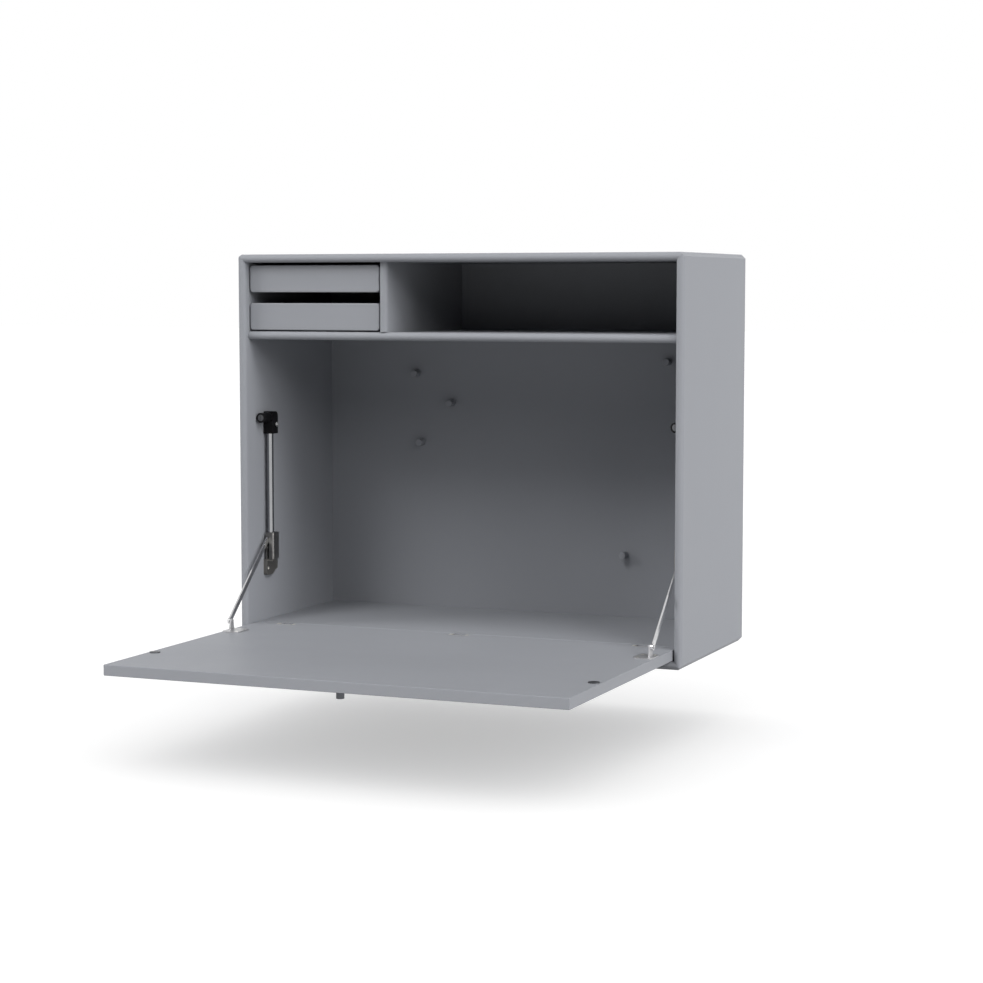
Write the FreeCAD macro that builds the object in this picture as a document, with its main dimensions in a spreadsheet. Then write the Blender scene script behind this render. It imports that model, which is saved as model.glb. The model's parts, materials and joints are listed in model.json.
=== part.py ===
# Fold down wall desk: a lacquered wall cabinet with a drop leaf, two trays and two flap stays.
# Lengths are millimetres. The origin lies on the wall, midway between the two hanging keyholes.
# +X runs to the right, +Y into the wall and +Z up. The leaf is modelled open, as a desk top.
import FreeCAD, Part
import math
import os
import Sketcher

SIZES = (
    # cabinet
    ("cabinet_width", 696.0),
    ("cabinet_height", 582.0),
    ("cabinet_depth", 300.0),
    ("hang_drop", 60.0),           # keyholes below the cabinet's top
    ("panel_thickness", 12.0),
    ("corner_chamfer", 6.0),
    ("back_thickness", 10.0),
    ("front_recess", 10.0),        # shelf and divider behind the cabinet's front
    ("tray_cell_width", 216.0),
    # mitre splines and dowels
    ("spline_width", 10.0),
    ("spline_thickness", 2.4),
    ("spline_end_margin", 20.0),
    ("dowel_radius", 3.0),
    ("dowel_panel_depth", 8.0),    # how far a dowel enters the face of a panel
    ("dowel_end_depth", 16.0),     # how far it enters the end of a board
    # wall hanging
    ("keyhole_inset", 66.0),       # keyholes from the inner faces of the side panels
    ("keyhole_radius", 5.0),
    ("keyhole_slot_radius", 2.6),
    ("keyhole_drop", 9.0),
    ("hanger_width", 20.0),
    ("hanger_height", 40.0),
    ("hanger_thickness", 1.5),
    ("hanger_pocket_depth", 6.0),
    ("hanger_pocket_margin", 2.0),
    ("hanger_screw_inset", 5.0),
    # drop leaf
    ("leaf_thickness", 15.0),
    ("leaf_rest_gap", 1.0),        # open leaf above the bottom panel
    ("leaf_side_gap", 1.5),
    ("leaf_top_gap", 2.0),         # closed leaf below the shelf
    ("leaf_joint_gap", 1.5),       # leaf's rear end to the floor panel
    ("pivot_depth", 5.0),          # hinge axis below the open leaf's top
    ("arris_radius", 0.8),
    # flap hinges
    ("hinge_inset", 53.0),         # outer hinges' centres from the side panels
    ("hinge_half_width", 15.0),
    ("hinge_flange_length", 22.0),
    ("hinge_flange_thickness", 2.0),
    ("hinge_corner_radius", 7.0),
    ("hinge_body_half_width", 13.0),
    ("hinge_body_length", 16.0),
    ("hinge_body_depth", 10.0),
    ("hinge_body_inset", 2.0),
    ("tongue_half_width", 10.0),
    ("tongue_radius", 2.6),
    ("tongue_gap", 0.4),
    ("hinge_pin_radius", 1.5),
    ("running_gap", 0.05),
    ("hinge_screw_offset", 8.5),
    ("hinge_screw_inset", 3.6),
    # screws
    ("screw_radius", 1.5),
    ("screw_head_radius", 2.9),
    ("screw_head_height", 1.4),
    ("screw_length", 12.0),
    ("hanger_screw_length", 8.0),
    # pegs and pull knob
    ("peg_radius", 5.5),
    ("peg_length", 15.0),
    ("peg_rim_radius", 0.9),
    ("spigot_radius", 3.0),
    ("spigot_length", 7.0),
    # peg axes: across from the left side panel, and down from the shelf's underside
    ("peg_one_across", 151.0),
    ("peg_one_drop", 58.0),
    ("peg_two_across", 211.0),
    ("peg_two_drop", 104.0),
    ("peg_three_across", 159.0),
    ("peg_three_drop", 167.0),
    ("peg_four_across", 500.0),
    ("peg_four_drop", 332.0),
    ("peg_five_across", 568.0),
    ("peg_five_drop", 35.0),
    ("knob_inset", 40.0),          # knob's axis behind the open leaf's front edge
    # trays
    ("tray_height", 40.0),
    ("tray_back_gap", 10.5),       # trays in front of the back panel
    ("tray_setback", 14.0),        # tray fronts and closed leaf behind the cabinet's front
    ("tray_side_gap", 1.5),
    ("tray_floor_gap", 2.0),       # lower tray above the shelf
    ("tray_gap", 16.0),            # finger gap between the trays
    ("tray_top_gap", 4.0),
    ("tray_front_thickness", 12.0),
    ("tray_corner_radius", 5.0),
    ("tray_face_radius", 1.4),
    ("tray_side_thickness", 10.0),
    ("tray_side_inset", 0.5),
    ("tray_edge_drop", 4.0),
    ("tray_bottom_thickness", 4.0),
    ("tray_bottom_rise", 3.0),
    ("tray_back_thickness", 8.0),
    ("runner_height", 8.0),
    ("runner_depth", 4.0),         # how far a runner enters its groove
    ("runner_gap", 0.4),
    ("runner_start", 4.0),         # runner's front end behind the tray front
    ("runner_end_margin", 12.0),
    ("runner_screw_inset", 40.0),
    # flap stays
    ("stay_offset", 8.7),          # rod's axis from the side panel
    ("rod_behind_pivot", 36.7),
    ("rod_radius", 5.0),
    ("catch_height", 337.5),       # catch magnet above the cabinet's underside
    ("head_half_width", 7.5),
    ("head_front_reach", 6.0),     # the head in front of the rod's axis, and behind it
    ("head_rear_reach", 11.5),
    ("head_height", 25.0),         # from the head's underside to the magnet's axis
    ("head_rise", 8.6),            # and from the axis to its top
    ("head_front_radius", 1.5),
    ("head_rear_radius", 7.0),
    ("snout_radius", 7.4),
    ("snout_overlap", 3.0),
    ("magnet_radius", 4.75),
    ("magnet_length", 12.0),
    ("magnet_proud", 0.5),
    ("magnet_slot_width", 1.0),
    ("magnet_slot_depth", 0.8),
    ("catch_gap", 0.3),
    ("rod_socket_depth", 17.0),
    ("head_boss_radius", 4.5),
    ("head_screw_setback", 7.6),
    ("head_screw_rise", 13.6),
    ("head_screw_radius", 1.4),
    ("head_screw_head_radius", 3.75),
    ("head_screw_head_height", 1.3),
    ("head_screw_grip", 9.0),      # thread in the side panel
    ("disc_offset", 3.3),          # strike disc inward of the rod's axis
    ("disc_radius", 7.5),
    ("disc_thickness", 1.3),
    ("disc_pin_radius", 1.5),
    ("disc_pin_length", 8.0),
    ("foot_height", 24.5),
    ("foot_slider_gap", 0.5),
    ("foot_thickness", 6.0),
    ("foot_front_reach", 8.1),     # the foot in front of the rod's axis, and behind it
    ("foot_rear_reach", 26.6),
    ("foot_flat_reach", 11.0),     # where its underside starts to slant up, and where it ends
    ("foot_slant_reach", 18.5),
    ("foot_slant_rise", 6.0),
    ("foot_tail_rise", 8.0),
    ("foot_corner_radius", 4.0),
    ("foot_screw_setback", -3.8),
    ("foot_screw_rise", 11.0),
    ("ledge_thickness", 3.0),      # the ledge that carries the rod
    ("ledge_reach", 6.3),
    ("slider_height", 40.5),
    ("slider_pivot_drop", 18.1),   # arm pivot below the slider's top
    ("slider_wall", 1.5),
    ("slider_side_reach", 7.0),   # side's inner face inward of the rod's axis
    ("slider_rear_reach", 10.0),    # rear fold's inner face behind the rod's axis
    ("slider_fold_radius", 2.5),
    ("bush_radius", 6.0),
    ("bush_end_gap", 1.0),
    ("slot_offset", -1.2),          # slot in the slider's front, inward of the arm's middle
    ("slot_width", 2.7),
    ("slot_height", 26.0),
    ("ear_reach", 17.6),           # arm pivot in front of the rod's axis
    ("ear_thickness", 2.0),
    ("ear_offset", 5.2),           # ear's outer face from the rod's axis
    ("ear_radius", 3.4),
    ("ear_hole_radius", 1.5),
    # stay arms and leaf brackets
    ("arm_length", 150.2),         # between the two pivots, seen from the side
    ("arm_thickness", 3.0),
    ("arm_width", 8.0),
    ("arm_edge_chamfer", 0.6),
    ("arm_eye_radius", 4.6),
    ("arm_tip_reach", 13.0),        # arm's end beyond the slider's pivot
    ("arm_tip_gap", 0.4),          # its bevel in front of the slider
    ("rivet_radius", 2.0),
    ("rivet_height", 0.4),
    ("part_gap", 0.3),
    ("lug_reach", 92.0),           # arm pivot in front of the hinge axis
    ("lug_height", 14.6),          # arm pivot above the open leaf's top
    ("lug_thickness", 2.5),
    ("lug_radius", 3.4),
    ("lug_base_half_width", 6.5),
    ("lug_pin_radius", 1.6),
    ("lug_pin_head_radius", 2.4),
    ("lug_pin_head_height", 1.0),
    ("bracket_width", 28.0),
    ("bracket_length", 41.0),
    ("bracket_thickness", 1.5),
    ("bracket_corner_radius", 9.0),
    ("bracket_offset", 8.0),       # plate's centre inward of the rod's axis
    ("bracket_screw_x", 8.5),
    ("bracket_screw_y", 12.0),
)

HALF_ROOT = math.sqrt(0.5)
SHELF_DOWELS = (0.15, 0.5, 0.85)
DIVIDER_DOWELS = (0.25, 0.75)

doc = FreeCAD.newDocument("fold_down_wall_desk")
sheet = doc.addObject("Spreadsheet::Sheet", "sizes")
nodes = []


class Size:
    """A length in mm, kept with the expression that ties it to the sheet."""

    def __init__(self, number, text):
        self.number = float(number)
        self.text = text

    def __add__(self, other):
        other = as_size(other)
        return Size(self.number + other.number, f"({self.text} + {other.text})")

    def __sub__(self, other):
        other = as_size(other)
        return Size(self.number - other.number, f"({self.text} - {other.text})")

    def __mul__(self, other):
        other = as_size(other)
        return Size(self.number * other.number, f"({self.text} * {other.text})")

    def __truediv__(self, other):
        other = as_size(other)
        return Size(self.number / other.number, f"({self.text} / {other.text})")

    def __radd__(self, other):
        return as_size(other) + self

    def __rsub__(self, other):
        return as_size(other) - self

    def __rmul__(self, other):
        return as_size(other) * self

    def __neg__(self):
        return 0 - self

    def root(self):
        return Size(math.sqrt(self.number), f"sqrt({self.text})")


def as_size(value):
    if isinstance(value, Size):
        return value
    return Size(value, repr(float(value)))


def fill_sheet():
    """Write every driving size to its own named cell."""
    for row, (alias, value) in enumerate(SIZES, start=1):
        sheet.set(f"A{row}", alias)
        sheet.set(f"B{row}", repr(value))
        sheet.setAlias(f"B{row}", alias)
    doc.recompute()


class Sizes:
    """The driving sizes by name."""

    def __init__(self):
        for alias, value in SIZES:
            setattr(self, alias, Size(value, f"sizes.{alias}"))


fill_sheet()
s = Sizes()

# Planes of the cabinet.
left = -s.cabinet_width / 2
right = s.cabinet_width / 2
front = -s.cabinet_depth
top = s.hang_drop
bottom = top - s.cabinet_height
inner_left = left + s.panel_thickness
inner_right = right - s.panel_thickness
inner_bottom = bottom + s.panel_thickness
inner_top = top - s.panel_thickness
inner_back = -s.back_thickness
inner_width = inner_right - inner_left
tray_cell_height = s.tray_floor_gap + s.tray_height * 2 + s.tray_gap + s.tray_top_gap
shelf_top = inner_top - tray_cell_height
shelf_bottom = shelf_top - s.panel_thickness
board_front = front + s.front_recess
divider_left = inner_left + s.tray_cell_width

# The leaf turns about the pivot. Closed, its outer face is flush with the tray fronts.
leaf_bottom = inner_bottom + s.leaf_rest_gap
leaf_top = leaf_bottom + s.leaf_thickness
pivot_z = leaf_top - s.pivot_depth
leaf_end_radius = s.leaf_thickness - s.pivot_depth
pivot_y = front + s.tray_setback + leaf_end_radius
leaf_rear = pivot_y + leaf_end_radius
floor_front = leaf_rear + s.leaf_joint_gap
leaf_reach = shelf_bottom - s.leaf_top_gap - pivot_z
leaf_front = pivot_y - leaf_reach
leaf_half_width = inner_right - s.leaf_side_gap

# Left flap stay.
stay_x = inner_left + s.stay_offset
rod_y = pivot_y + s.rod_behind_pivot
catch_z = bottom + s.catch_height
strike_y = pivot_y - (catch_z - pivot_z)
lug_y = pivot_y - s.lug_reach
lug_z = leaf_top + s.lug_height
arm_top_y = rod_y - s.ear_reach
arm_rise = (s.arm_length * s.arm_length - (arm_top_y - lug_y) * (arm_top_y - lug_y)).root()
arm_top_z = lug_z + arm_rise
slider_top = arm_top_z + s.slider_pivot_drop
slider_bottom = slider_top - s.slider_height
foot_top = slider_bottom - s.foot_slider_gap
foot_bottom = foot_top - s.foot_height
head_bottom = catch_z - s.head_height
arm_x = stay_x - s.ear_offset + s.ear_thickness + s.part_gap + s.arm_thickness / 2
lug_x = arm_x + s.arm_thickness / 2 + s.part_gap


def bind(item, name, size):
    """Tie one property of an object to the sheet."""
    size = as_size(size)
    item.setExpression(name, size.text)


def move(item, place, rotation=None):
    """Put an object's origin at a place, turned by a fixed rotation."""
    place = [as_size(value) for value in place]
    base = FreeCAD.Vector(*[value.number for value in place])
    item.Placement = FreeCAD.Placement(base, rotation or FreeCAD.Rotation())
    for axis, value in zip("xyz", place):
        bind(item, f"Placement.Base.{axis}", value)


def node(item, name):
    """Name an object as one finished sub-part."""
    item.Label = name
    nodes.append(item)
    return item


def box(name, low, high):
    """A box between two opposite corners."""
    item = doc.addObject("Part::Box", name)
    for side, start, end in zip(("Length", "Width", "Height"), low, high):
        bind(item, side, as_size(end) - start)
    move(item, low)
    return item


AXES = {
    "X": FreeCAD.Rotation(FreeCAD.Vector(0, 1, 0), 90),
    "-X": FreeCAD.Rotation(FreeCAD.Vector(0, 1, 0), -90),
    "Y": FreeCAD.Rotation(FreeCAD.Vector(1, 0, 0), -90),
    "-Y": FreeCAD.Rotation(FreeCAD.Vector(1, 0, 0), 90),
    "Z": FreeCAD.Rotation(),
    "-Z": FreeCAD.Rotation(FreeCAD.Vector(1, 0, 0), 180),
}


def cylinder(name, base, radius, length, axis):
    """A cylinder that starts at its base's centre and runs along an axis."""
    item = doc.addObject("Part::Cylinder", name)
    bind(item, "Radius", radius)
    bind(item, "Height", length)
    move(item, base, AXES[axis])
    return item


def cone(name, base, radius_1, radius_2, length, axis):
    item = doc.addObject("Part::Cone", name)
    bind(item, "Radius1", radius_1)
    bind(item, "Radius2", radius_2)
    bind(item, "Height", length)
    move(item, base, AXES[axis])
    return item


def fuse(name, shapes):
    item = doc.addObject("Part::MultiFuse", name)
    item.Shapes = shapes
    item.Refine = True
    return item


def group(name, shapes):
    item = doc.addObject("Part::Compound", name)
    item.Links = shapes
    return item


def cut(name, base, tools):
    """Take one or more tools away from a base."""
    item = doc.addObject("Part::Cut", name)
    item.Base = base
    item.Tool = tools[0] if len(tools) == 1 else group(f"{name}_tools", tools)
    item.Refine = True
    return item


def common(name, base, tool):
    item = doc.addObject("Part::Common", name)
    item.Base = base
    item.Tool = tool
    item.Refine = True
    return item


def mirror(name, source):
    """The right hand twin of a left hand piece."""
    item = doc.addObject("Part::Mirroring", name)
    item.Source = source
    item.Base = FreeCAD.Vector(0, 0, 0)
    item.Normal = FreeCAD.Vector(1, 0, 0)
    return item


def middle(edge):
    """An edge's middle and the sizes of its box."""
    bounds = edge.BoundBox
    return bounds.Center, (bounds.XLength, bounds.YLength, bounds.ZLength)


def near(first, second):
    return abs(first - as_size(second).number) < 0.01


def rounded(name, base, radius, wanted):
    """Round the edges that a test picks."""
    doc.recompute()
    picked = [index for index, edge in enumerate(base.Shape.Edges, start=1) if wanted(*middle(edge))]
    item = doc.addObject("Part::Fillet", name)
    item.Base = base
    item.Edges = [(index, radius.number, radius.number) for index in picked]
    return item


def new_body(name):
    return doc.addObject("PartDesign::Body", name)


def outline(body, name, role, points, offset=0):
    """A closed outline of straight lines on one of the body's own planes."""
    sketch = body.newObject("Sketcher::SketchObject", name)
    plane = [item for item in body.Origin.OriginFeatures if item.Role == role][0]
    sketch.AttachmentSupport = [(plane, "")]
    sketch.MapMode = "FlatFace"
    bind(sketch, "AttachmentOffset.Base.z", offset)
    points = [(as_size(across), as_size(up)) for across, up in points]
    corners = [FreeCAD.Vector(across.number, up.number, 0) for across, up in points]
    count = len(corners)
    for index in range(count):
        sketch.addGeometry(Part.LineSegment(corners[index], corners[(index + 1) % count]))
    for index in range(count):
        sketch.addConstraint(Sketcher.Constraint("Coincident", index, 2, (index + 1) % count, 1))
    for index, (across, up) in enumerate(points):
        for kind, size in (("DistanceX", across), ("DistanceY", up)):
            number = sketch.addConstraint(Sketcher.Constraint(kind, -1, 1, index, 1, size.number))
            sketch.renameConstraint(number, f"{kind}{index}")
            bind(sketch, f"Constraints.{kind}{index}", size)
    return sketch


def pad(body, name, sketch, length):
    """Raise an outline along its plane's normal."""
    item = body.newObject("PartDesign::Pad", name)
    item.Profile = sketch
    bind(item, "Length", length)
    sketch.Visibility = False
    return item


def dressed(body, kind, name, size, wanted):
    """Fillet or chamfer the edges of a body that a test picks."""
    doc.recompute()
    base = body.Tip
    picked = [f"Edge{index}" for index, edge in enumerate(base.Shape.Edges, start=1)
              if wanted(*middle(edge))]
    item = body.newObject(f"PartDesign::{kind}", name)
    item.Base = (base, picked)
    bind(item, "Radius" if kind == "Fillet" else "Size", size)
    doc.recompute()
    return item


def turned(name, profile, place, axis):
    """A round piece: a profile of radii and heights turned about its own axis."""
    body = new_body(name)
    sketch = outline(body, f"{name}_profile", "XZ_Plane", profile)
    item = body.newObject("PartDesign::Revolution", f"{name}_turn")
    item.Profile = sketch
    item.ReferenceAxis = (sketch, ["V_Axis"])
    item.Angle = 360
    move(body, place, AXES[axis])
    return body


def screw(name, place, axis, length):
    """A countersunk screw whose flush head lies at a place and whose tip points along an axis."""
    step = {"X": (1, 0, 0), "-X": (-1, 0, 0), "Y": (0, 1, 0),
            "-Y": (0, -1, 0), "Z": (0, 0, 1), "-Z": (0, 0, -1)}[axis]
    neck = [as_size(value) + s.screw_head_height * way for value, way in zip(place, step)]
    head = cone(f"{name}_head", place, s.screw_head_radius, s.screw_radius,
                s.screw_head_height, axis)
    shank = cylinder(f"{name}_shank", neck, s.screw_radius, length - s.screw_head_height, axis)
    return fuse(name, [head, shank])


def board_dowel(name, place, axis):
    """A dowel through a joint at a place, its short end pointing back from the axis."""
    step = {"X": (1, 0, 0), "-X": (-1, 0, 0), "Z": (0, 0, 1), "-Z": (0, 0, -1)}[axis]
    start = [as_size(value) - s.dowel_panel_depth * way for value, way in zip(place, step)]
    return cylinder(name, start, s.dowel_radius, s.dowel_panel_depth + s.dowel_end_depth, axis)


def make_dowels():
    """Dowels between the side panels and the shelf, and at both ends of the divider."""
    shelf_middle = shelf_bottom + s.panel_thickness / 2
    divider_middle = divider_left + s.panel_thickness / 2
    depth = inner_back - board_front
    sides, uppers, lowers = [], [], []
    for index, share in enumerate(SHELF_DOWELS):
        place_y = board_front + depth * share
        sides.append(board_dowel(f"dowel_left_{index}", (inner_left, place_y, shelf_middle), "X"))
        sides.append(board_dowel(f"dowel_right_{index}", (inner_right, place_y, shelf_middle), "-X"))
    for index, share in enumerate(DIVIDER_DOWELS):
        place_y = board_front + depth * share
        uppers.append(board_dowel(f"dowel_top_{index}", (divider_middle, place_y, inner_top), "-Z"))
        lowers.append(board_dowel(f"dowel_low_{index}", (divider_middle, place_y, shelf_top), "Z"))
    node(group("carcass_dowels", sides + uppers + lowers), "carcass_dowels")
    return sides, uppers, lowers


def make_splines():
    """A flat spline across each of the four mitred corners."""
    inset = (s.corner_chamfer / 2 + s.panel_thickness) / 2
    splines = []
    for corner, centre_x, centre_z, slope in (
            ("lower_left", left + inset, bottom + inset, 1),
            ("lower_right", right - inset, bottom + inset, -1),
            ("upper_left", left + inset, top - inset, -1),
            ("upper_right", right - inset, top - inset, 1)):
        half_width = s.spline_width * HALF_ROOT / 2
        half_thickness = s.spline_thickness * HALF_ROOT / 2
        spline = doc.addObject("Part::Box", f"spline_{corner}")
        bind(spline, "Length", s.spline_width)
        bind(spline, "Width", s.cabinet_depth - s.spline_end_margin * 2)
        bind(spline, "Height", s.spline_thickness)
        move(spline,
             (centre_x - half_width - half_thickness * slope,
              front + s.spline_end_margin,
              centre_z + half_width * slope - half_thickness),
             FreeCAD.Rotation(FreeCAD.Vector(0, 1, 0), 45 * slope))
        splines.append(spline)
    node(group("mitre_splines", splines), "mitre_splines")
    return splines


def mitred_panel(name, points, slab_low, slab_high, nose_base, nose_axis, nose_length, tools):
    """A carcass panel: mitred and chamfered ends, and a fully rounded front edge."""
    body = new_body(f"{name}_prism")
    sketch = outline(body, f"{name}_outline", "XZ_Plane", points)
    pad(body, f"{name}_pad", sketch, s.cabinet_depth)
    slab = box(f"{name}_slab", slab_low, slab_high)
    nose = cylinder(f"{name}_nose", nose_base, s.panel_thickness / 2, nose_length, nose_axis)
    blank = common(f"{name}_blank", body, fuse(f"{name}_section", [slab, nose]))
    return node(cut(name, blank, tools), name)


def make_side_panel(name, side, tools):
    """side is -1 for the left panel and 1 for the right one."""
    outer = s.cabinet_width / 2 * side
    inner = (s.cabinet_width / 2 - s.panel_thickness) * side
    bevel = (s.cabinet_width / 2 - s.corner_chamfer / 2) * side
    rise = s.corner_chamfer / 2
    points = ((outer, bottom + s.corner_chamfer), (bevel, bottom + rise),
              (inner, inner_bottom), (inner, inner_top),
              (bevel, top - rise), (outer, top - s.corner_chamfer))
    low_x = left if side < 0 else inner_right
    nose_y = front + s.panel_thickness / 2
    return mitred_panel(
        name, points,
        (low_x, nose_y, bottom), (low_x + s.panel_thickness, 0, top),
        (low_x + s.panel_thickness / 2, nose_y, bottom), "Z", s.cabinet_height, tools)


def make_flat_panel(name, side, tools):
    """side is -1 for the bottom panel and 1 for the top one."""
    outer = top if side > 0 else bottom
    inner = inner_top if side > 0 else inner_bottom
    bevel = outer - s.corner_chamfer / 2 * side
    shift = s.corner_chamfer / 2
    points = ((left + s.corner_chamfer, outer), (left + shift, bevel), (inner_left, inner),
              (inner_right, inner), (right - shift, bevel), (right - s.corner_chamfer, outer))
    low_z = inner_top if side > 0 else bottom
    nose_y = front + s.panel_thickness / 2
    return mitred_panel(
        name, points,
        (left, nose_y, low_z), (right, 0, low_z + s.panel_thickness),
        (left, nose_y, low_z + s.panel_thickness / 2), "X", s.cabinet_width, tools)


def make_shelf(tools):
    """The shelf across the cabinet, with a fully rounded front edge."""
    nose_y = board_front + s.panel_thickness / 2
    slab = box("shelf_slab", (inner_left, nose_y, shelf_bottom), (inner_right, inner_back, shelf_top))
    nose = cylinder("shelf_nose", (inner_left, nose_y, shelf_bottom + s.panel_thickness / 2),
                    s.panel_thickness / 2, inner_width, "X")
    node(cut("shelf", fuse("shelf_blank", [slab, nose]), tools), "shelf")


def make_divider(tools):
    """The upright board between the trays and the open compartment."""
    nose_y = board_front + s.panel_thickness / 2
    slab = box("divider_slab", (divider_left, nose_y, shelf_top),
               (divider_left + s.panel_thickness, inner_back, inner_top))
    nose = cylinder("divider_nose", (divider_left + s.panel_thickness / 2, nose_y, shelf_top),
                    s.panel_thickness / 2, inner_top - shelf_top, "Z")
    node(cut("divider", fuse("divider_blank", [slab, nose]), tools), "divider")


def make_hangers():
    """Two keyhole plates let into the back panel, with their screws and pockets."""
    plates, pockets, screws = [], [], []
    below = (s.hanger_height - s.keyhole_drop) / 2
    reach = inner_right - s.keyhole_inset
    for name, side in (("left", -1), ("right", 1)):
        centre = reach * side
        low = (centre - s.hanger_width / 2, -s.hanger_thickness, -below)
        high = (centre + s.hanger_width / 2, 0, s.hanger_height - below)
        blank = box(f"hanger_{name}_blank", low, high)
        rear = -s.hanger_thickness
        entry = cylinder(f"hanger_{name}_entry", (centre, rear, 0), s.keyhole_radius,
                         s.hanger_thickness, "Y")
        slot = box(f"hanger_{name}_slot", (centre - s.keyhole_slot_radius, rear, 0),
                   (centre + s.keyhole_slot_radius, 0, s.keyhole_drop))
        slot_end = cylinder(f"hanger_{name}_slot_end", (centre, rear, s.keyhole_drop),
                            s.keyhole_slot_radius, s.hanger_thickness, "Y")
        keyhole = fuse(f"hanger_{name}_keyhole", [entry, slot, slot_end])
        for end, height in (("low", -below + s.hanger_screw_inset),
                            ("high", s.hanger_height - below - s.hanger_screw_inset)):
            screws.append(screw(f"hanger_{name}_screw_{end}", (centre, 0, height), "-Y",
                                s.hanger_screw_length))
        plates.append(cut(f"hanger_{name}", blank, [keyhole] + screws[-2:]))
        room = s.keyhole_radius + s.hanger_pocket_margin
        pocket = box(f"hanger_{name}_pocket",
                     (centre - room, rear - s.hanger_pocket_depth, -room),
                     (centre + room, rear, s.keyhole_drop + room))
        pockets.extend([pocket, blank])
    node(group("hanger_plates", plates), "hanger_plates")
    node(group("hanger_screws", screws), "hanger_screws")
    return pockets + screws


def peg(name, place, axis):
    """A turned peg: a spigot that enters the board, and a round body with an eased rim."""
    profile = ((0, -s.spigot_length), (s.spigot_radius, -s.spigot_length), (s.spigot_radius, 0),
               (s.peg_radius, 0), (s.peg_radius, s.peg_length), (0, s.peg_length))
    body = turned(name, profile, place, axis)
    dressed(body, "Fillet", f"{name}_rim", s.peg_rim_radius,
            lambda centre, span: near(centre.z, s.peg_length) and near(span[0], s.peg_radius * 2))
    return body


def make_pegs():
    """Five pegs in the back of the lower compartment."""
    pegs = []
    for name, across, drop in (("one", s.peg_one_across, s.peg_one_drop),
                               ("two", s.peg_two_across, s.peg_two_drop),
                               ("three", s.peg_three_across, s.peg_three_drop),
                               ("four", s.peg_four_across, s.peg_four_drop),
                               ("five", s.peg_five_across, s.peg_five_drop)):
        place = (inner_left + across, inner_back, shelf_bottom - drop)
        pegs.append(peg(f"peg_{name}", place, "-Y"))
    node(group("back_pegs", pegs), "back_pegs")
    return pegs


def make_back(tools):
    blank = box("back_blank", (inner_left, inner_back, inner_bottom), (inner_right, 0, inner_top))
    node(cut("back_panel", blank, tools), "back_panel")


def hinge_flange(name, centre, low_y, high_y, round_y):
    """A flush flange with two rounded corners on one side."""
    flange = box(f"{name}_flange", (centre - s.hinge_half_width, low_y,
                                    leaf_top - s.hinge_flange_thickness),
                 (centre + s.hinge_half_width, high_y, leaf_top))
    return rounded(f"{name}_corners", flange, s.hinge_corner_radius,
                   lambda place, span: near(place.y, round_y) and near(span[0], 0)
                   and near(span[1], 0))


def make_hinge(name, centre):
    """A flush flap hinge: a floor half with a tongue, a leaf half with cheeks, and the pin."""
    width = s.hinge_body_half_width
    base = leaf_top - s.hinge_body_depth
    screws = {}
    for half, place_y in (("leaf", leaf_rear - s.hinge_flange_length + s.hinge_screw_inset),
                          ("floor", floor_front + s.hinge_flange_length - s.hinge_screw_inset)):
        screws[half] = [screw(f"{half}_hinge_screw_{name}_{side}",
                              (centre + s.hinge_screw_offset * way, place_y, leaf_top), "-Z",
                              s.screw_length) for side, way in (("left", -1), ("right", 1))]

    floor_flange = hinge_flange(f"floor_hinge_{name}", centre, floor_front,
                                floor_front + s.hinge_flange_length,
                                floor_front + s.hinge_flange_length)
    floor_body = box(f"floor_hinge_{name}_body",
                     (centre - width, floor_front + s.hinge_body_inset, base),
                     (centre + width, floor_front + s.hinge_body_length, leaf_top))
    tongue = box(f"floor_hinge_{name}_tongue",
                 (centre - s.tongue_half_width, pivot_y, pivot_z - s.tongue_radius),
                 (centre + s.tongue_half_width, floor_front + s.hinge_body_inset,
                  pivot_z + s.tongue_radius))
    knuckle = cylinder(f"floor_hinge_{name}_knuckle",
                       (centre - s.tongue_half_width, pivot_y, pivot_z), s.tongue_radius,
                       s.tongue_half_width * 2, "X")
    eye = cylinder(f"floor_hinge_{name}_eye", (centre - s.tongue_half_width, pivot_y, pivot_z),
                   s.hinge_pin_radius + s.running_gap, s.tongue_half_width * 2, "X")
    floor_blank = fuse(f"floor_hinge_{name}_blank", [floor_flange, floor_body, tongue, knuckle])
    node(cut(f"floor_hinge_{name}", floor_blank, [eye] + screws["floor"]), f"floor_hinge_{name}")

    leaf_flange = hinge_flange(f"leaf_hinge_{name}", centre, leaf_rear - s.hinge_flange_length,
                               leaf_rear, leaf_rear - s.hinge_flange_length)
    leaf_body = box(f"leaf_hinge_{name}_body",
                    (centre - width, pivot_y - s.hinge_body_length / 2, base),
                    (centre + width, pivot_y + s.hinge_body_length / 2, leaf_top))
    room = s.tongue_radius + s.tongue_gap
    notch = box(f"hinge_{name}_notch",
                (centre - s.tongue_half_width - s.tongue_gap, pivot_y - room, pivot_z - room),
                (centre + s.tongue_half_width + s.tongue_gap, floor_front, leaf_top + room))
    pin = cylinder(f"hinge_pin_{name}", (centre - width, pivot_y, pivot_z), s.hinge_pin_radius,
                   width * 2, "X")
    leaf_blank = fuse(f"leaf_hinge_{name}_blank", [leaf_flange, leaf_body])
    node(cut(f"leaf_hinge_{name}", leaf_blank, [notch, pin] + screws["leaf"]),
         f"leaf_hinge_{name}")
    return {"pin": pin, "floor_tools": [floor_blank] + screws["floor"],
            "leaf_tools": [leaf_blank, notch] + screws["leaf"],
            "floor_screws": screws["floor"], "leaf_screws": screws["leaf"]}


def make_floor(tools):
    """The raised floor behind the leaf, level with the open leaf."""
    blank = box("floor_blank", (inner_left, floor_front, inner_bottom),
                (inner_right, inner_back, leaf_top))
    eased = rounded("floor_eased", blank, s.arris_radius,
                    lambda place, span: near(place.y, floor_front) and near(place.z, leaf_top)
                    and span[0] > span[2])
    node(cut("floor_panel", eased, tools), "floor_panel")


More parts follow.
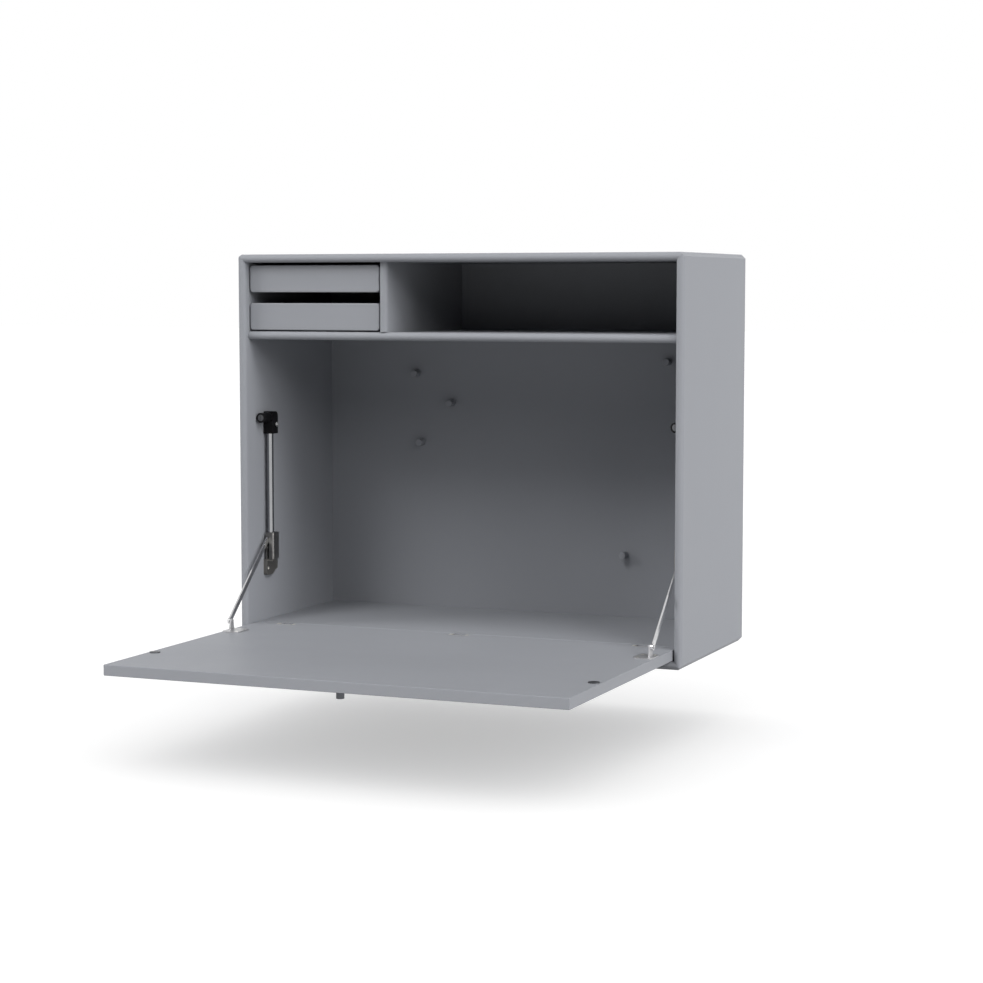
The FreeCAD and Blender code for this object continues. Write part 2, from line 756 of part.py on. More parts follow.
def make_leaf(tools):
    """The drop leaf. Its rear end is rounded about the hinge axis, so it turns in its gap."""
    body = new_body("leaf_board")
    points = ((leaf_front, leaf_bottom), (leaf_front, leaf_top), (leaf_rear, leaf_top),
              (leaf_rear, leaf_bottom))
    sketch = outline(body, "leaf_outline", "YZ_Plane", points, -leaf_half_width)
    pad(body, "leaf_pad", sketch, leaf_half_width * 2)
    dressed(body, "Fillet", "leaf_end", leaf_end_radius,
            lambda place, span: near(place.y, leaf_rear) and near(place.z, leaf_bottom)
            and near(span[1], 0))
    dressed(body, "Fillet", "leaf_arris", s.arris_radius,
            lambda place, span: near(place.y, leaf_front)
            or (near(span[0], 0) and near(span[2], 0) and place.y < pivot_y.number)
            or (near(place.y, leaf_rear) and near(place.z, leaf_top)))
    node(cut("drop_leaf", body, tools), "drop_leaf")


def make_knob():
    """The pull knob under the open leaf, which is the closed leaf's outer face."""
    knob = peg("pull_knob", (0, leaf_front + s.knob_inset, leaf_bottom), "-Z")
    return node(knob, "pull_knob")


def make_strike_disc():
    """The left steel disc that meets the catch magnet when the leaf is closed."""
    profile = ((0, -s.disc_pin_length), (s.disc_pin_radius, -s.disc_pin_length),
               (s.disc_pin_radius, 0), (s.disc_radius, 0), (s.disc_radius, s.disc_thickness),
               (0, s.disc_thickness))
    disc = turned("left_strike_disc", profile, (stay_x + s.disc_offset, strike_y, leaf_top), "Z")
    return node(disc, "left_strike_disc")


def make_stay_head():
    """The left stay's plastic head, its catch magnet and the long screw that holds it."""
    magnet_front = pivot_y + s.pivot_depth + s.disc_thickness + s.catch_gap
    low_y, high_y = rod_y - s.head_front_reach, rod_y + s.head_rear_reach
    high_z = catch_z + s.head_rise
    block = box("head_block", (stay_x - s.head_half_width, low_y, head_bottom),
                (stay_x + s.head_half_width, high_y, high_z))
    front_eased = rounded("head_front_eased", block, s.head_front_radius,
                          lambda place, span: near(place.y, low_y) and near(place.z, high_z))
    eased = rounded("head_rear_eased", front_eased, s.head_rear_radius,
                    lambda place, span: near(place.y, high_y) and near(place.z, high_z))
    snout_front = magnet_front + s.magnet_proud
    snout = cylinder("head_snout", (stay_x, snout_front, catch_z), s.snout_radius,
                     low_y + s.snout_overlap - snout_front, "Y")
    screw_y = rod_y + s.head_screw_setback
    screw_z = head_bottom + s.head_screw_rise
    boss = cylinder("head_boss", (inner_left, screw_y, screw_z), s.head_boss_radius,
                    s.stay_offset, "X")
    head_face = stay_x + s.head_half_width
    shank = cylinder("head_screw_shank", (head_face, screw_y, screw_z), s.head_screw_radius,
                     s.stay_offset + s.head_half_width + s.head_screw_grip, "-X")
    cap = cylinder("head_screw_cap", (head_face, screw_y, screw_z), s.head_screw_head_radius,
                   s.head_screw_head_height, "X")
    long_screw = fuse("head_screw_left", [shank, cap])
    magnet_blank = cylinder("magnet_blank", (stay_x, magnet_front, catch_z), s.magnet_radius,
                            s.magnet_length, "Y")
    slot = box("magnet_slot",
               (stay_x - s.magnet_slot_width / 2, magnet_front, catch_z - s.magnet_radius),
               (stay_x + s.magnet_slot_width / 2, magnet_front + s.magnet_slot_depth,
                catch_z + s.magnet_radius))
    socket = cylinder("head_socket", (stay_x, rod_y, head_bottom), s.rod_radius,
                      s.rod_socket_depth, "Z")
    blank = fuse("head_blank", [eased, snout, boss])
    head = node(cut("left_stay_head", blank, [magnet_blank, socket, long_screw]),
                "left_stay_head")
    magnet = node(cut("left_catch_magnet", magnet_blank, [slot]), "left_catch_magnet")
    return head, magnet, long_screw


def make_stay_rod():
    """The left stay's chromed rod, from the foot's ledge to the head's socket."""
    low = foot_top - s.ledge_thickness
    rod = cylinder("left_stay_rod", (stay_x, rod_y, low), s.rod_radius,
                   head_bottom + s.rod_socket_depth - low, "Z")
    return node(rod, "left_stay_rod")


def make_stay_foot():
    """The left stay's foot: a block on the side panel and the ledge that carries the rod."""
    low_y, high_y = rod_y - s.foot_front_reach, rod_y + s.foot_rear_reach
    block = new_body("foot_block")
    points = ((low_y, foot_top), (low_y, foot_bottom), (rod_y + s.foot_flat_reach, foot_bottom),
              (rod_y + s.foot_slant_reach, foot_bottom + s.foot_slant_rise),
              (high_y, foot_bottom + s.foot_tail_rise), (high_y, foot_top))
    sketch = outline(block, "foot_outline", "YZ_Plane", points, inner_left)
    pad(block, "foot_pad", sketch, s.foot_thickness)
    dressed(block, "Fillet", "foot_corner", s.foot_corner_radius,
            lambda place, span: near(place.y, low_y) and near(place.z, foot_bottom)
            and near(span[1], 0))
    ledge = box("foot_ledge", (inner_left, rod_y - s.ledge_reach, foot_top - s.ledge_thickness),
                (stay_x + s.ledge_reach, rod_y + s.ledge_reach, foot_top))
    seat = cylinder("foot_seat", (stay_x, rod_y, foot_top - s.ledge_thickness), s.rod_radius,
                    s.ledge_thickness, "Z")
    screws = [screw("foot_screw", (inner_left + s.foot_thickness, rod_y + s.foot_screw_setback,
                                   foot_bottom + s.foot_screw_rise), "-X", s.screw_length)]
    foot = node(cut("left_stay_foot", fuse("foot_solid", [block, ledge]), [seat] + screws),
                "left_stay_foot")
    return foot, screws


def make_slider():
    """The left slider: a folded steel shell with an ear for the arm, and a plastic bush."""
    wall = s.slider_wall
    low_y = rod_y - s.bush_radius - wall
    high_y = rod_y + s.slider_rear_reach + wall
    low_x = stay_x - s.ear_offset
    high_x = stay_x + s.slider_side_reach + wall
    shell = box("slider_shell", (low_x, low_y, slider_bottom), (high_x, high_y, slider_top))
    folded = rounded("slider_folds", shell, s.slider_fold_radius,
                     lambda place, span: near(place.x, high_x) and near(span[0], 0)
                     and near(span[1], 0))
    room = box("slider_room", (low_x, low_y + wall, slider_bottom),
               (high_x - wall, high_y - wall, slider_top))
    slot_low = arm_x + s.slot_offset
    slot = box("slider_slot", (slot_low, low_y, slider_bottom),
               (slot_low + s.slot_width, low_y + wall, slider_bottom + s.slot_height))
    bar = box("slider_ear", (low_x, arm_top_y, arm_top_z - s.ear_radius),
              (low_x + s.ear_thickness, low_y + wall, arm_top_z + s.ear_radius))
    tip = cylinder("slider_ear_tip", (low_x, arm_top_y, arm_top_z), s.ear_radius,
                   s.ear_thickness, "X")
    hole = cylinder("slider_ear_hole", (low_x, arm_top_y, arm_top_z), s.ear_hole_radius,
                    s.ear_thickness, "X")
    body = fuse("slider_body", [cut("slider_channel", folded, [room]), bar, tip])
    shell_node = node(cut("left_slider_shell", body, [hole, slot]), "left_slider_shell")
    low, high = slider_bottom + s.bush_end_gap, slider_top - s.bush_end_gap
    tube = cylinder("bush_tube", (stay_x, rod_y, low), s.bush_radius, high - low, "Z")
    filling = box("bush_filling", (stay_x, low_y + wall, low),
                  (high_x - wall, high_y - wall, high))
    bore = cylinder("bush_bore", (stay_x, rod_y, low), s.rod_radius + s.running_gap, high - low,
                    "Z")
    bush = node(cut("left_slider_bush", fuse("bush_block", [tube, filling]), [bore]),
                "left_slider_bush")
    return shell_node, bush


def make_stay_arm():
    """The left stay's flat arm: an eye for the bracket's pin, and a rivet at the slider's ear."""
    half = s.arm_thickness / 2
    length = s.arm_length + s.arm_tip_reach
    points = ((-half, 0), (half, 0), (half, length), (-half, length))
    bar = new_body("arm_bar")
    sketch = outline(bar, "arm_bar_outline", "XZ_Plane", points, -s.arm_width / 2)
    pad(bar, "arm_bar_pad", sketch, s.arm_width)
    dressed(bar, "Chamfer", "arm_bar_edges", s.arm_edge_chamfer,
            lambda centre, span: near(span[2], length))
    run, rise = arm_top_y - lug_y, arm_top_z - lug_z
    lean = math.degrees(math.atan2(run.number, rise.number))
    move(bar, (arm_x, lug_y, lug_z), FreeCAD.Rotation(FreeCAD.Vector(-1, 0, 0), lean))
    bar.setExpression("Placement.Rotation.Angle", f"atan2({run.text}; {rise.text})")
    foot_eye = cylinder("arm_foot_eye", (arm_x - half, lug_y, lug_z), s.arm_eye_radius,
                        s.arm_thickness, "X")
    bevel_y = rod_y - s.bush_radius - s.slider_wall - s.arm_tip_gap
    bevel = box("arm_bevel", (arm_x - half, bevel_y, arm_top_z - s.arm_width),
                (arm_x + half, bevel_y + s.arm_width, arm_top_z + s.arm_tip_reach * 2))
    rivet = cylinder("arm_rivet", (arm_x + half, arm_top_y, arm_top_z), s.rivet_radius,
                     s.rivet_height, "X")
    bore = cylinder("arm_bore", (arm_x - half, lug_y, lug_z),
                    s.lug_pin_radius + s.running_gap, s.arm_thickness, "X")
    blank = fuse("arm_blank", [bar, foot_eye, rivet])
    return node(cut("left_stay_arm", blank, [bore, bevel]), "left_stay_arm")


def make_leaf_bracket():
    """The left leaf bracket: a screwed plate with an upright lug, and the arm's pin."""
    centre_x = stay_x + s.bracket_offset
    centre_y = pivot_y - s.lug_reach
    plate_top = leaf_top + s.bracket_thickness
    low_y = centre_y - s.bracket_length / 2
    plate = box("bracket_plate", (centre_x - s.bracket_width / 2, low_y, leaf_top),
                (centre_x + s.bracket_width / 2, low_y + s.bracket_length, plate_top))
    soft_plate = rounded("bracket_corners", plate, s.bracket_corner_radius,
                         lambda place, span: near(span[0], 0) and near(span[1], 0))
    body = new_body("bracket_lug")
    points = ((lug_y - s.lug_base_half_width, leaf_top), (lug_y - s.lug_radius, lug_z),
              (lug_y + s.lug_radius, lug_z), (lug_y + s.lug_base_half_width, leaf_top))
    pad(body, "bracket_lug_pad", outline(body, "bracket_lug_outline", "YZ_Plane", points, lug_x),
        s.lug_thickness)
    crown = cylinder("bracket_crown", (lug_x, lug_y, lug_z), s.lug_radius, s.lug_thickness, "X")
    head_x = arm_x - s.arm_thickness / 2 - s.part_gap - s.lug_pin_head_height
    pin_end = lug_x + s.lug_thickness
    shaft = cylinder("bracket_pin_shaft", (head_x, lug_y, lug_z), s.lug_pin_radius,
                     pin_end - head_x, "X")
    head = cylinder("bracket_pin_head", (head_x, lug_y, lug_z), s.lug_pin_head_radius,
                    s.lug_pin_head_height, "X")
    tail = cylinder("bracket_pin_tail", (pin_end, lug_y, lug_z), s.lug_pin_head_radius,
                    s.lug_pin_head_height, "X")
    pin = node(fuse("left_bracket_pin", [shaft, head, tail]), "left_bracket_pin")
    screws = [screw(f"bracket_screw_{index}",
                    (centre_x + s.bracket_screw_x * across, centre_y + s.bracket_screw_y * along,
                     plate_top), "-Z", s.screw_length)
              for index, (across, along) in enumerate(((1, 1), (1, -1), (-1, 1)))]
    blank = fuse("bracket_blank", [soft_plate, body, crown])
    bracket = node(cut("left_leaf_bracket", blank, [shaft] + screws), "left_leaf_bracket")
    return bracket, pin, screws


def make_tray(name, low_z, cell_left):
    """One tray and its two runners. Returns the runners' screws, left then right."""
    outer_left = cell_left + s.tray_side_gap
    outer_right = cell_left + s.tray_cell_width - s.tray_side_gap
    front_y = front + s.tray_setback
    joint_y = front_y + s.tray_front_thickness
    rear_y = inner_back - s.tray_back_gap
    high_z = low_z + s.tray_height
    body = new_body(f"{name}_front")
    sketch = outline(body, f"{name}_front_outline", "XZ_Plane",
                     ((outer_left, low_z), (outer_right, low_z), (outer_right, high_z),
                      (outer_left, high_z)), -joint_y)
    pad(body, f"{name}_front_pad", sketch, s.tray_front_thickness)
    dressed(body, "Fillet", f"{name}_front_corners", s.tray_corner_radius,
            lambda place, span: near(span[0], 0) and near(span[2], 0))
    dressed(body, "Fillet", f"{name}_front_face", s.tray_face_radius,
            lambda place, span: near(place.y, front_y))
    node(body, f"{name}_front")

    side_low = low_z + s.tray_bottom_rise
    side_high = high_z - s.tray_edge_drop
    runner_low = low_z + (s.tray_height - s.runner_height) / 2
    groove_depth = s.runner_depth + s.runner_gap
    sides, screws = [], []
    for side, way, wall_x, outer in (("left", 1, cell_left, outer_left),
                                     ("right", -1, cell_left + s.tray_cell_width, outer_right)):
        outer = outer + s.tray_side_inset * way
        inner = outer + s.tray_side_thickness * way
        groove_end = outer + (groove_depth - s.tray_side_inset) * way
        board = box(f"{name}_{side}_board",
                    (outer if way > 0 else inner, joint_y, side_low),
                    (inner if way > 0 else outer, rear_y, side_high))
        groove = box(f"{name}_{side}_groove",
                     (outer if way > 0 else groove_end, joint_y, runner_low - s.runner_gap),
                     (groove_end if way > 0 else outer, rear_y,
                      runner_low + s.runner_height + s.runner_gap))
        sides.append(cut(f"{name}_{side}_side", board, [groove]))
        tip = wall_x + (s.tray_side_gap + s.runner_depth) * way
        runner_start = joint_y + s.runner_start
        runner_end = inner_back - s.runner_end_margin
        strip = box(f"{name}_{side}_strip",
                    (wall_x if way > 0 else tip, runner_start, runner_low),
                    (tip if way > 0 else wall_x, runner_end, runner_low + s.runner_height))
        axis = "-X" if way > 0 else "X"
        pair = [screw(f"{name}_{side}_runner_screw_{index}",
                      (tip, place_y, runner_low + s.runner_height / 2), axis, s.screw_length)
                for index, place_y in enumerate((runner_start + s.runner_screw_inset,
                                                 runner_end - s.runner_screw_inset))]
        height_name = name.split("_")[0]
        node(cut(f"{height_name}_{side}_runner", strip, pair), f"{height_name}_{side}_runner")
        screws.append(pair)
    node(group(f"{name}_sides", sides), f"{name}_sides")

    inner_low = outer_left + s.tray_side_inset + s.tray_side_thickness
    inner_high = outer_right - s.tray_side_inset - s.tray_side_thickness
    base_high = side_low + s.tray_bottom_thickness
    node(box(f"{name}_bottom", (inner_low, joint_y, side_low), (inner_high, rear_y, base_high)),
         f"{name}_bottom")
    node(box(f"{name}_back", (inner_low, rear_y - s.tray_back_thickness, base_high),
             (inner_high, rear_y, side_high)), f"{name}_back")
    return screws


def make_desk():
    """Build every sub-part, inner pieces first so that their seats can be cut from them."""
    side_dowels, top_dowels, low_dowels = make_dowels()
    splines = make_splines()
    lower_screws = make_tray("lower_tray", shelf_top + s.tray_floor_gap, inner_left)
    upper_screws = make_tray("upper_tray", inner_top - s.tray_top_gap - s.tray_height,
                             inner_left)
    left_runner_screws = lower_screws[0] + upper_screws[0]
    divider_screws = lower_screws[1] + upper_screws[1]

    head, magnet, left_head_screw = make_stay_head()
    rod = make_stay_rod()
    foot, left_foot_screws = make_stay_foot()
    shell, bush = make_slider()
    arm = make_stay_arm()
    bracket, pin, left_bracket_screws = make_leaf_bracket()
    disc = make_strike_disc()
    for piece in (head, magnet, rod, foot, shell, bush, arm, bracket, pin, disc):
        name = piece.Label.replace("left", "right")
        node(mirror(name, piece), name)
    right_head_screw = mirror("head_screw_right", left_head_screw)
    right_foot_screws = [mirror(f"{item.Name}_right", item) for item in left_foot_screws]
    right_bracket_screws = [mirror(f"{item.Name}_right", item) for item in left_bracket_screws]
    node(group("head_screws", [left_head_screw, right_head_screw]), "head_screws")

    hinge_reach = inner_right - s.hinge_inset
    hinges = [make_hinge("left", -hinge_reach), make_hinge("centre", as_size(0)),
              make_hinge("right", hinge_reach)]
    node(group("hinge_pins", [hinge["pin"] for hinge in hinges]), "hinge_pins")
    floor_screws = [item for hinge in hinges for item in hinge["floor_screws"]]
    leaf_screws = [item for hinge in hinges for item in hinge["leaf_screws"]]
    leaf_screws += left_bracket_screws + right_bracket_screws
    node(group("leaf_screws", leaf_screws), "leaf_screws")
    node(group("cabinet_screws", left_runner_screws + divider_screws + left_foot_screws
               + right_foot_screws + floor_screws), "cabinet_screws")

    knob = make_knob()
    right_disc = [item for item in nodes if item.Label == "right_strike_disc"][0]
    make_leaf([tool for hinge in hinges for tool in hinge["leaf_tools"]]
              + [hinge["pin"] for hinge in hinges]
              + left_bracket_screws + right_bracket_screws + [knob, disc, right_disc])
    make_floor([tool for hinge in hinges for tool in hinge["floor_tools"]])

    lower_left, lower_right, upper_left, upper_right = splines
    make_side_panel("left_side_panel", -1, side_dowels + [lower_left, upper_left, left_head_screw]
                    + left_foot_screws + left_runner_screws)
    make_side_panel("right_side_panel", 1, side_dowels
                    + [lower_right, upper_right, right_head_screw] + right_foot_screws)
    make_flat_panel("bottom_panel", -1, [lower_left, lower_right])
    make_flat_panel("top_panel", 1, [upper_left, upper_right] + top_dowels)
    make_shelf(side_dowels + low_dowels)
    make_divider(top_dowels + low_dowels + divider_screws)
    hanger_tools = make_hangers()
    make_back(hanger_tools + make_pegs())


def check_model():
    """Stop if an object failed or a sub-part's shape is unsound."""
    doc.recompute()
    failed = [item.Name for item in doc.Objects if {"Invalid", "Error"} & set(item.State)]
    if failed:
        raise RuntimeError(f"failed objects: {failed}")
    for item in nodes:
        if item.Shape.isNull() or not item.Shape.isValid() or not item.Shape.Solids:
            raise RuntimeError(f"unsound shape: {item.Label}")


def write_parts():
    os.makedirs("parts", exist_ok=True)
    for item in nodes:
        item.Shape.exportStep(f"parts/{item.Label}.step")


make_desk()
check_model()
write_parts()
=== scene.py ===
import json
import math

import bmesh
import bpy
from mathutils import Matrix, Vector


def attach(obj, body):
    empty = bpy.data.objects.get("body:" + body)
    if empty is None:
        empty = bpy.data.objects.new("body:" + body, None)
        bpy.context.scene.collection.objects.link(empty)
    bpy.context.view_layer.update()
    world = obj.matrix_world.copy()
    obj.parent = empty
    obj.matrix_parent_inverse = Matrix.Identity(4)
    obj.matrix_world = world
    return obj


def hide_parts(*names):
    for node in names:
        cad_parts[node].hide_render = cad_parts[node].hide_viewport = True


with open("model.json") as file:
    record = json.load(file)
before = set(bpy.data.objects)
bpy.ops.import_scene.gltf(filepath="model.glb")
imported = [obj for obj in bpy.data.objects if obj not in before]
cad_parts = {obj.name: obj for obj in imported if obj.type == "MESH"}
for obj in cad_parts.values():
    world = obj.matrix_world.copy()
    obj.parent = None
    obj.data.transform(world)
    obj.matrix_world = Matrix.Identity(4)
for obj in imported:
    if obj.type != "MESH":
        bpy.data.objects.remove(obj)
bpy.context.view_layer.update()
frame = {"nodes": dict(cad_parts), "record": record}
nodes = frame["nodes"]

# ---------------------------------------------------------------- values
# Lengths are in metres and angles in degrees. Noise scales are in waves per metre.

PIVOT_Y = -0.276                # the hinge line between the inner floor and the leaf
STRIP_HALF_WIDTH = 0.0045       # bare metal on each side of the hinge line
STRIP_FADE = 0.0004             # from bare metal to paint
STRIP_METALLIC = 0.45
STRIP_POLISH = 0.15             # how much smoother than the paint the bare metal is

NOISE_SPAN = (0.3, 0.7)         # what a noise mostly keeps between
EDGE_SPAN = (0.995, 0.85)       # cosine of the soft normal to the flat one, off and on an edge
BEVEL_SAMPLES = 4
TARNISH = 0.94                  # darkest clouding of a metal, as a share of its colour
METAL_EDGE_WEAR_AND_HIGHLIGHT = 1.15               # its edges, lighter as wear and as a painted highlight

GREY = (140, 142, 147)
BEECH = (206, 176, 138)
NICKEL = (205, 202, 196)
ZINC = (196, 198, 200)
CHROME = (158, 159, 161)
SLIDER_STEEL = (132, 131, 129)
FOOT_STEEL = (132, 130, 126)
ARM_STEEL = (206, 206, 207)
SCREW_STEEL = (196, 196, 197)
DISC_STEEL = (84, 85, 88)
BRACKET_STEEL = (168, 168, 170)
BARE_HINGE = (206, 203, 194)
MAGNET = (94, 95, 98)
BLACK = (12, 12, 14)
HINGE_PAINT = 0.97              # the hinges' paint, as a share of the lacquer's colour

POINT_DIGITS = 5                # points that agree to so many digits are one
END_SLICE = 0.0002              # points this close to a screw's end measure its radius there
HINGE_REACH = 0.03              # a screw this close to the hinge line is in a hinge
SCREW_SEGMENTS = 40
SCREW_TURN = 37                 # from one screw's cross to the next one's
COUNTERSINK = 0.0014            # depth of a countersunk head
CAP_HEIGHT = 0.0013             # height of a head that stands on the surface
CAP_EASE = 0.0002               # its eased lower edge
RIM_WIDTH = 0.07                # soft rim, as a share of the head's radius
RIM_EASE = 0.3                  # its middle step, as a share of the rim
POINT_LENGTH = 1.6              # the screw's point, as a share of the shank's radius
POINT_RADIUS = 0.2
CROSS_RIM = (0.6, 0.15)         # the recess's arm and half width, as shares of the head's radius
CROSS_BASE = (0.3, 0.1)         # the same at its bottom
CROSS_DEPTH = 0.45

FLOOR_Z = -0.632
FLOOR_REACH = 30.0
FLOOR_ALBEDO = 0.66
FLOOR_GLOW = 0.46               # added in direct view, so that the unshaded floor is white
AMBIENT = 0.02
WHITE = (1, 1, 1, 1)

# Azimuth from the front towards the right, elevation, angular size, strength.
LAMPS = (
    (-65.0, 25.0, 30.0, 1.9),
    (-20.0, 45.0, 22.0, 1.26),
    (45.0, 25.0, 22.0, 0.62),
    (65.0, 45.0, 30.0, 1.66),
    (85.0, 8.0, 22.0, 1.5),
    (180.0, 45.0, 50.0, 0.5),
)
FLOOR_LAMP = (0.0, 90.0, 152.0, 3.1)
LAMP_DISTANCE = 3

CAMERA_PLACE = (1.31963, -3.33903, 0.00881)
CAMERA_DIP = 5.021              # downward from level
CAMERA_TURN = 22.484
CAMERA_LENS = 84.382            # in millimetres, as the sensor
CAMERA_SENSOR = 36.0
CAMERA_CLIP = (0.05, 100.0)

# ---------------------------------------------------------------- shader helpers


def srgb(red, green, blue):
    """Linear colour of an sRGB one, given in 0 to 255."""
    linear = []
    for value in (red, green, blue):
        value /= 255
        linear.append(value / 12.92 if value <= 0.04045 else ((value + 0.055) / 1.055) ** 2.4)
    return (*linear, 1.0)


def scaled(colour, factor):
    return (colour[0] * factor, colour[1] * factor, colour[2] * factor, 1.0)


class Shader:
    """A material under construction."""

    def __init__(self, name):
        self.material = bpy.data.materials.new(name)
        self.material.use_nodes = True
        self.tree = self.material.node_tree
        self.tree.nodes.clear()
        output = self.add("ShaderNodeOutputMaterial")
        self.surface = self.add("ShaderNodeBsdfPrincipled")
        self.link(self.surface.outputs["BSDF"], output.inputs["Surface"])
        self.place = self.add("ShaderNodeTexCoord").outputs["Object"]

    def add(self, kind, **values):
        made = self.tree.nodes.new(kind)
        for name, value in values.items():
            setattr(made, name, value)
        return made

    def link(self, start, end):
        self.tree.links.new(start, end)

    def set(self, name, value):
        """A value that is the same all over the surface."""
        self.surface.inputs[name].default_value = value

    def feed(self, name, output):
        """A value that changes over the surface."""
        self.link(output, self.surface.inputs[name])

    def stretched(self, scale):
        """Object coordinates stretched along the axes."""
        mapping = self.add("ShaderNodeMapping")
        mapping.inputs["Scale"].default_value = scale
        self.link(self.place, mapping.inputs["Vector"])
        return mapping.outputs["Vector"]

    def noise(self, scale, detail=2.0, rough=0.5, place=None):
        made = self.add("ShaderNodeTexNoise")
        made.inputs["Scale"].default_value = scale
        made.inputs["Detail"].default_value = detail
        made.inputs["Roughness"].default_value = rough
        self.link(place or self.place, made.inputs["Vector"])
        return made.outputs["Fac"]

    def ramp(self, value, to=(0.0, 1.0), span=NOISE_SPAN):
        """A value's span mapped to another one, and held at its ends."""
        made = self.add("ShaderNodeMapRange")
        made.inputs["From Min"].default_value, made.inputs["From Max"].default_value = span
        made.inputs["To Min"].default_value, made.inputs["To Max"].default_value = to
        self.link(value, made.inputs["Value"])
        return made.outputs["Result"]

    def math(self, operation, first, second=0.0):
        made = self.add("ShaderNodeMath", operation=operation)
        for socket, value in zip(made.inputs, (first, second)):
            if isinstance(value, (int, float)):
                socket.default_value = value
            else:
                self.link(value, socket)
        return made.outputs[0]

    def mix(self, factor, first, second):
        """Blend of two colours."""
        made = self.add("ShaderNodeMix", data_type="RGBA")
        self.link(factor, made.inputs["Factor"])
        for socket, value in ((made.inputs[6], first), (made.inputs[7], second)):
            if isinstance(value, tuple):
                socket.default_value = value
            else:
                self.link(value, socket)
        return made.outputs[2]

    def soft_edges(self, radius):
        """A normal that rounds sharp edges, and a mask that is 1 on them."""
        soft = self.add("ShaderNodeBevel", samples=BEVEL_SAMPLES)
        soft.inputs["Radius"].default_value = radius
        flat = self.add("ShaderNodeNewGeometry")
        dot = self.add("ShaderNodeVectorMath", operation="DOT_PRODUCT")
        self.link(soft.outputs["Normal"], dot.inputs[0])
        self.link(flat.outputs["Normal"], dot.inputs[1])
        return soft.outputs["Normal"], self.ramp(dot.outputs["Value"], span=EDGE_SPAN)

    def wear_and_edge_highlight(self, edge, share, tone, lit_and_rubbed):
        """A tone that goes to another by a share on the edges. On the lacquer the lighter edge
        tone is a painted highlight. On the metal and plastic it is partly wear and partly a
        painted highlight. On the hinges it is wear of the paint down to bare metal.
        """
        return self.mix(self.math("MULTIPLY", edge, share), tone, lit_and_rubbed)

    def bump(self, height, strength, distance, normal=None):
        made = self.add("ShaderNodeBump")
        made.inputs["Strength"].default_value = strength
        made.inputs["Distance"].default_value = distance
        self.link(height, made.inputs["Height"])
        if normal is not None:
            self.link(normal, made.inputs["Normal"])
        self.feed("Normal", made.outputs["Normal"])


# ---------------------------------------------------------------- materials


def lacquer(name, colour):
    """Sprayed satin lacquer: faint clouding, fine spray texture, softly rounded edges with a
    painted highlight along them.
    """
    shader = Shader(name)
    cloud = shader.noise(scale=7.0, detail=3.0)
    speck = shader.noise(scale=1500.0, detail=1.0)
    tone = shader.mix(shader.ramp(cloud), scaled(colour, 0.975), scaled(colour, 1.02))
    dusted = shader.mix(shader.ramp(speck, span=(0.35, 0.65)), tone, colour)
    normal, edge = shader.soft_edges(radius=0.0007)
    # The lighter tone on the edges is a painted highlight along the arrises.
    shader.feed("Base Color", shader.wear_and_edge_highlight(edge, 0.5, dusted, scaled(colour, 1.18)))
    shader.feed("Roughness", shader.math("ADD", shader.ramp(cloud, to=(0.42, 0.5)),
                                         shader.ramp(speck, to=(-0.03, 0.03))))
    shader.set("Specular IOR Level", 0.06)
    peel = shader.math("ADD", shader.noise(scale=330.0), shader.math("MULTIPLY", speck, 0.25))
    shader.bump(peel, strength=0.12, distance=0.0002, normal=normal)
    return shader.material


def metal(name, colour, roughness, grain, streak=(1, 1, 1), metallic=1.0):
    """Plated or bare metal with a drawn grain, and edges lightened partly as slight wear and
    partly as a painted highlight.
    """
    shader = Shader(name)
    shader.set("Metallic", metallic)
    lines = shader.noise(scale=900.0, detail=3.0, place=shader.stretched(streak))
    cloud = shader.noise(scale=90.0, detail=3.0)
    tone = shader.mix(shader.ramp(cloud, span=(0.35, 0.7)), colour, scaled(colour, TARNISH))
    normal, edge = shader.soft_edges(radius=0.00025)
    # Lighter edges: partly wear, partly a painted highlight.
    shader.feed("Base Color", shader.wear_and_edge_highlight(edge, 0.6, tone, scaled(colour, METAL_EDGE_WEAR_AND_HIGHLIGHT)))
    drawn = shader.ramp(lines, to=(roughness - grain, roughness + grain))
    shader.feed("Roughness", shader.math("ADD", drawn, shader.ramp(cloud, to=(-0.02, 0.03))))
    shader.bump(lines, strength=0.05, distance=0.00005, normal=normal)
    return shader.material


def plastic(name, colour, roughness):
    """Moulded plastic with a fine spark texture."""
    shader = Shader(name)
    grain = shader.noise(scale=2600.0)
    cloud = shader.noise(scale=60.0)
    normal, edge = shader.soft_edges(radius=0.0004)
    shader.set("Specular IOR Level", 0.12)
    tone = shader.mix(shader.ramp(cloud), scaled(colour, 0.85), scaled(colour, 1.2))
    # The much lighter edges are partly edge wear and partly a painted highlight.
    shader.feed("Base Color", shader.wear_and_edge_highlight(edge, 0.5, tone, scaled(colour, 2.2)))
    shader.feed("Roughness", shader.ramp(grain, to=(roughness - 0.05, roughness + 0.07)))
    shader.bump(grain, strength=0.15, distance=0.00008, normal=normal)
    return shader.material


